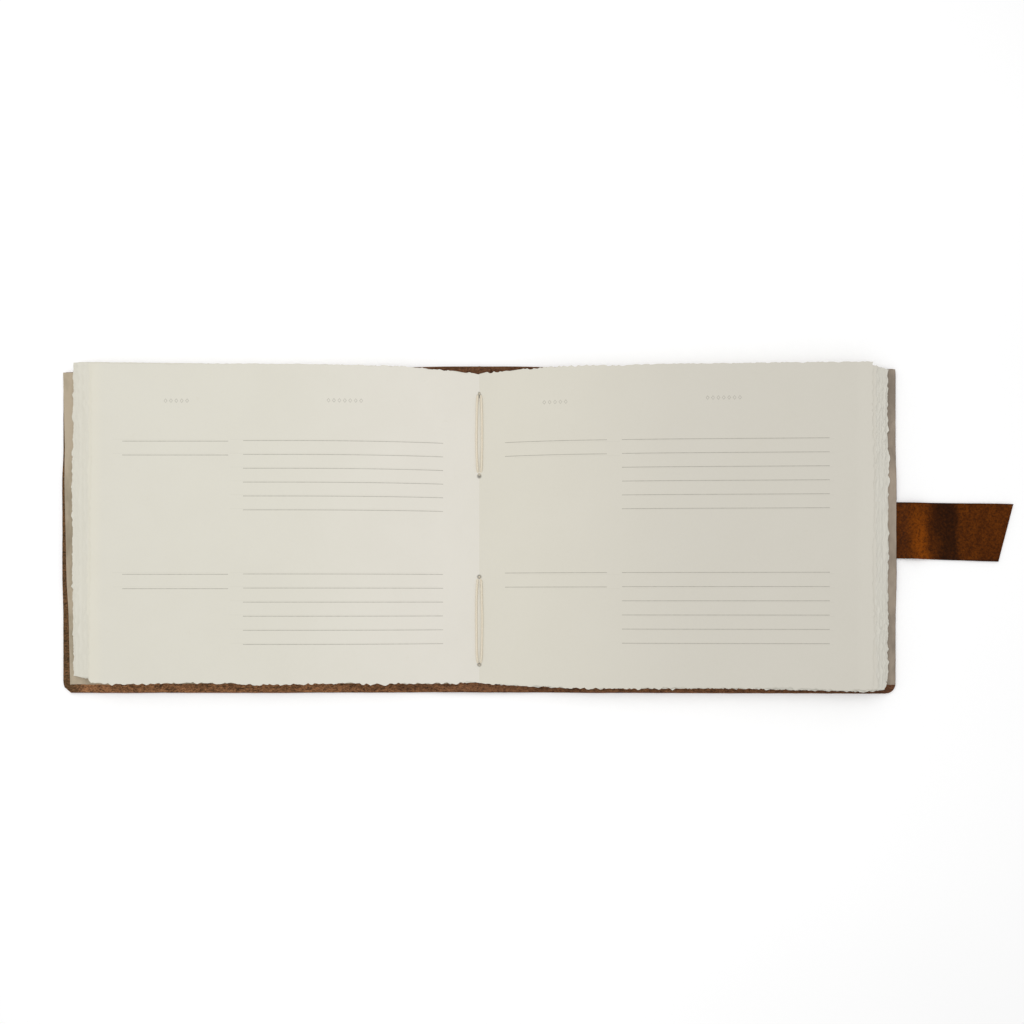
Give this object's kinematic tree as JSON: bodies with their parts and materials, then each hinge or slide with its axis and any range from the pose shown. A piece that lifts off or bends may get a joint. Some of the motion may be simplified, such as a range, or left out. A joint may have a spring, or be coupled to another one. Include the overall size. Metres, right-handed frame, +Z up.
{
  "type": "wedding guest book",
  "caption": "Open landscape guest book: leather wrap cover, sewn signatures of deckle-edged ruled leaves, centre stitches and a strap that tucks under a keeper.",
  "frame": {"origin": "middle of the bounding box on the surface that the open book lies on; the gutter is 37.5 mm towards -X, because the strap sticks out on +X", "axes": "+X from the front cover to the back cover and its strap, +Y towards the head, +Z up"},
  "size_m": [0.596, 0.203, 0.0168],
  "materials": {
    "cover_leather": "rough fibrous inner face, smooth waxed outer face",
    "strap_leather": "oiled, semi-gloss, burnished edges",
    "endpaper": "matt, lightly fibrous",
    "leaf_paper": "matt, uncoated, deckled edges",
    "waxed_thread": "waxed, twisted"
  },
  "bodies": {
    "back_cover": {"back_cover_leather": "cover_leather", "back_endpaper": "endpaper", "strap_anchor": "strap_leather", "strap_stitches": "waxed_thread"},
    "spine": {"spine_leather": "cover_leather", "kettle_stitches": "waxed_thread", "signature_1_fold": "leaf_paper", "signature_2_fold": "leaf_paper", "signature_3_fold": "leaf_paper", "signature_4_fold": "leaf_paper", "signature_5_fold": "leaf_paper", "sewing_thread_1": "waxed_thread", "sewing_thread_2": "waxed_thread", "sewing_thread_3": "waxed_thread", "sewing_thread_4": "waxed_thread", "sewing_thread_5": "waxed_thread"},
    "front_cover": {"front_cover_leather": "cover_leather", "front_endpaper": "endpaper", "keeper_ends": "strap_leather", "keeper_stitches": "waxed_thread"},
    "leaves_1": {"signature_1_first_half": "leaf_paper"},
    "leaves_2": {"signature_1_second_half": "leaf_paper"},
    "leaves_3": {"signature_2_first_half": "leaf_paper"},
    "leaves_4": {"signature_2_second_half": "leaf_paper"},
    "leaves_5": {"signature_3_first_half": "leaf_paper"},
    "leaves_6": {"signature_3_second_half": "leaf_paper"},
    "leaves_7": {"signature_4_first_half": "leaf_paper"},
    "leaves_8": {"signature_4_second_half": "leaf_paper"},
    "leaves_9": {"signature_5_first_half": "leaf_paper"},
    "leaves_10": {"signature_5_second_half": "leaf_paper"},
    "left_page": {"left_page": "leaf_paper"},
    "right_page": {"right_page": "leaf_paper"},
    "strap_wrap": {"strap_wrap": "strap_leather"},
    "strap_tab": {"strap_tab": "strap_leather"},
    "keeper": {"keeper_bridge": "strap_leather"}
  },
  "joints": [
    {"name": "close", "type": "hinge", "parent": "back_cover", "child": "spine", "pos_m": [-0.0247, 0, 0.0041], "axis": [0, 1, 0], "range_deg": [0, 90], "deforming": ["signature_1_fold", "signature_2_fold", "signature_3_fold", "signature_4_fold", "signature_5_fold"]},
    {"name": "front_cover_bend", "type": "hinge", "parent": "spine", "child": "front_cover", "pos_m": [-0.0503, 0, 0.0041], "axis": [0, 1, 0], "range_deg": [0, 90]},
    {"name": "leaves_1_bend", "type": "hinge", "parent": "spine", "child": "leaves_1", "pos_m": [-0.0496, 0, 0.0048], "axis": [0, 1, 0], "range_deg": [0, 90]},
    {"name": "leaves_2_bend", "type": "hinge", "parent": "spine", "child": "leaves_2", "pos_m": [-0.0482, 0, 0.0062], "axis": [0, 1, 0], "range_deg": [0, 90]},
    {"name": "leaves_3_bend", "type": "hinge", "parent": "spine", "child": "leaves_3", "pos_m": [-0.0468, 0, 0.0076], "axis": [0, 1, 0], "range_deg": [0, 90]},
    {"name": "leaves_4_bend", "type": "hinge", "parent": "spine", "child": "leaves_4", "pos_m": [-0.0454, 0, 0.009], "axis": [0, 1, 0], "range_deg": [0, 90]},
    {"name": "leaves_5_bend", "type": "hinge", "parent": "spine", "child": "leaves_5", "pos_m": [-0.044, 0, 0.0104], "axis": [0, 1, 0], "range_deg": [0, 90]},
    {"name": "leaves_6_bend", "type": "hinge", "parent": "spine", "child": "leaves_6", "pos_m": [-0.031, 0, 0.0104], "axis": [0, -1, 0], "range_deg": [0, 90]},
    {"name": "leaves_7_bend", "type": "hinge", "parent": "spine", "child": "leaves_7", "pos_m": [-0.0296, 0, 0.009], "axis": [0, -1, 0], "range_deg": [0, 90]},
    {"name": "leaves_8_bend", "type": "hinge", "parent": "spine", "child": "leaves_8", "pos_m": [-0.0282, 0, 0.0076], "axis": [0, -1, 0], "range_deg": [0, 90]},
    {"name": "leaves_9_bend", "type": "hinge", "parent": "spine", "child": "leaves_9", "pos_m": [-0.0268, 0, 0.0062], "axis": [0, -1, 0], "range_deg": [0, 90]},
    {"name": "leaves_10_bend", "type": "hinge", "parent": "spine", "child": "leaves_10", "pos_m": [-0.0254, 0, 0.0048], "axis": [0, -1, 0], "range_deg": [0, 90]},
    {"name": "turn_left_page", "type": "hinge", "parent": "leaves_5", "child": "left_page", "pos_m": [-0.0375, 0, 0.0169], "axis": [0, -1, 0], "range_deg": [-179.5, 0]},
    {"name": "turn_right_page", "type": "hinge", "parent": "leaves_6", "child": "right_page", "pos_m": [-0.0375, 0, 0.0169], "axis": [0, 1, 0], "range_deg": [-179.5, 0]},
    {"name": "fold_strap", "type": "hinge", "parent": "back_cover", "child": "strap_wrap", "pos_m": [0.2238, 0, 0.0016], "axis": [0, -1, 0], "range_deg": [0, 90]},
    {"name": "fold_strap_tab", "type": "hinge", "parent": "strap_wrap", "child": "strap_tab", "pos_m": [0.2546, 0, 0.0016], "axis": [0, -1, 0], "range_deg": [0, 90]},
    {"name": "lift_keeper", "type": "slide", "parent": "front_cover", "child": "keeper", "axis": [0, 0, -1], "range_m": [0, 0.0022]}
  ],
  "couplings": [
    {"joint": "front_cover_bend", "follows": "close", "ratio": 1},
    {"joint": "leaves_1_bend", "follows": "close", "ratio": 1},
    {"joint": "leaves_2_bend", "follows": "close", "ratio": 1},
    {"joint": "leaves_3_bend", "follows": "close", "ratio": 1},
    {"joint": "leaves_4_bend", "follows": "close", "ratio": 1},
    {"joint": "leaves_5_bend", "follows": "close", "ratio": 1},
    {"joint": "leaves_6_bend", "follows": "close", "ratio": 1},
    {"joint": "leaves_7_bend", "follows": "close", "ratio": 1},
    {"joint": "leaves_8_bend", "follows": "close", "ratio": 1},
    {"joint": "leaves_9_bend", "follows": "close", "ratio": 1},
    {"joint": "leaves_10_bend", "follows": "close", "ratio": 1},
    {"joint": "fold_strap_tab", "follows": "fold_strap", "ratio": 1},
    {"joint": "lift_keeper", "follows": "fold_strap", "m_per_rad": 0.0014}
  ]
}
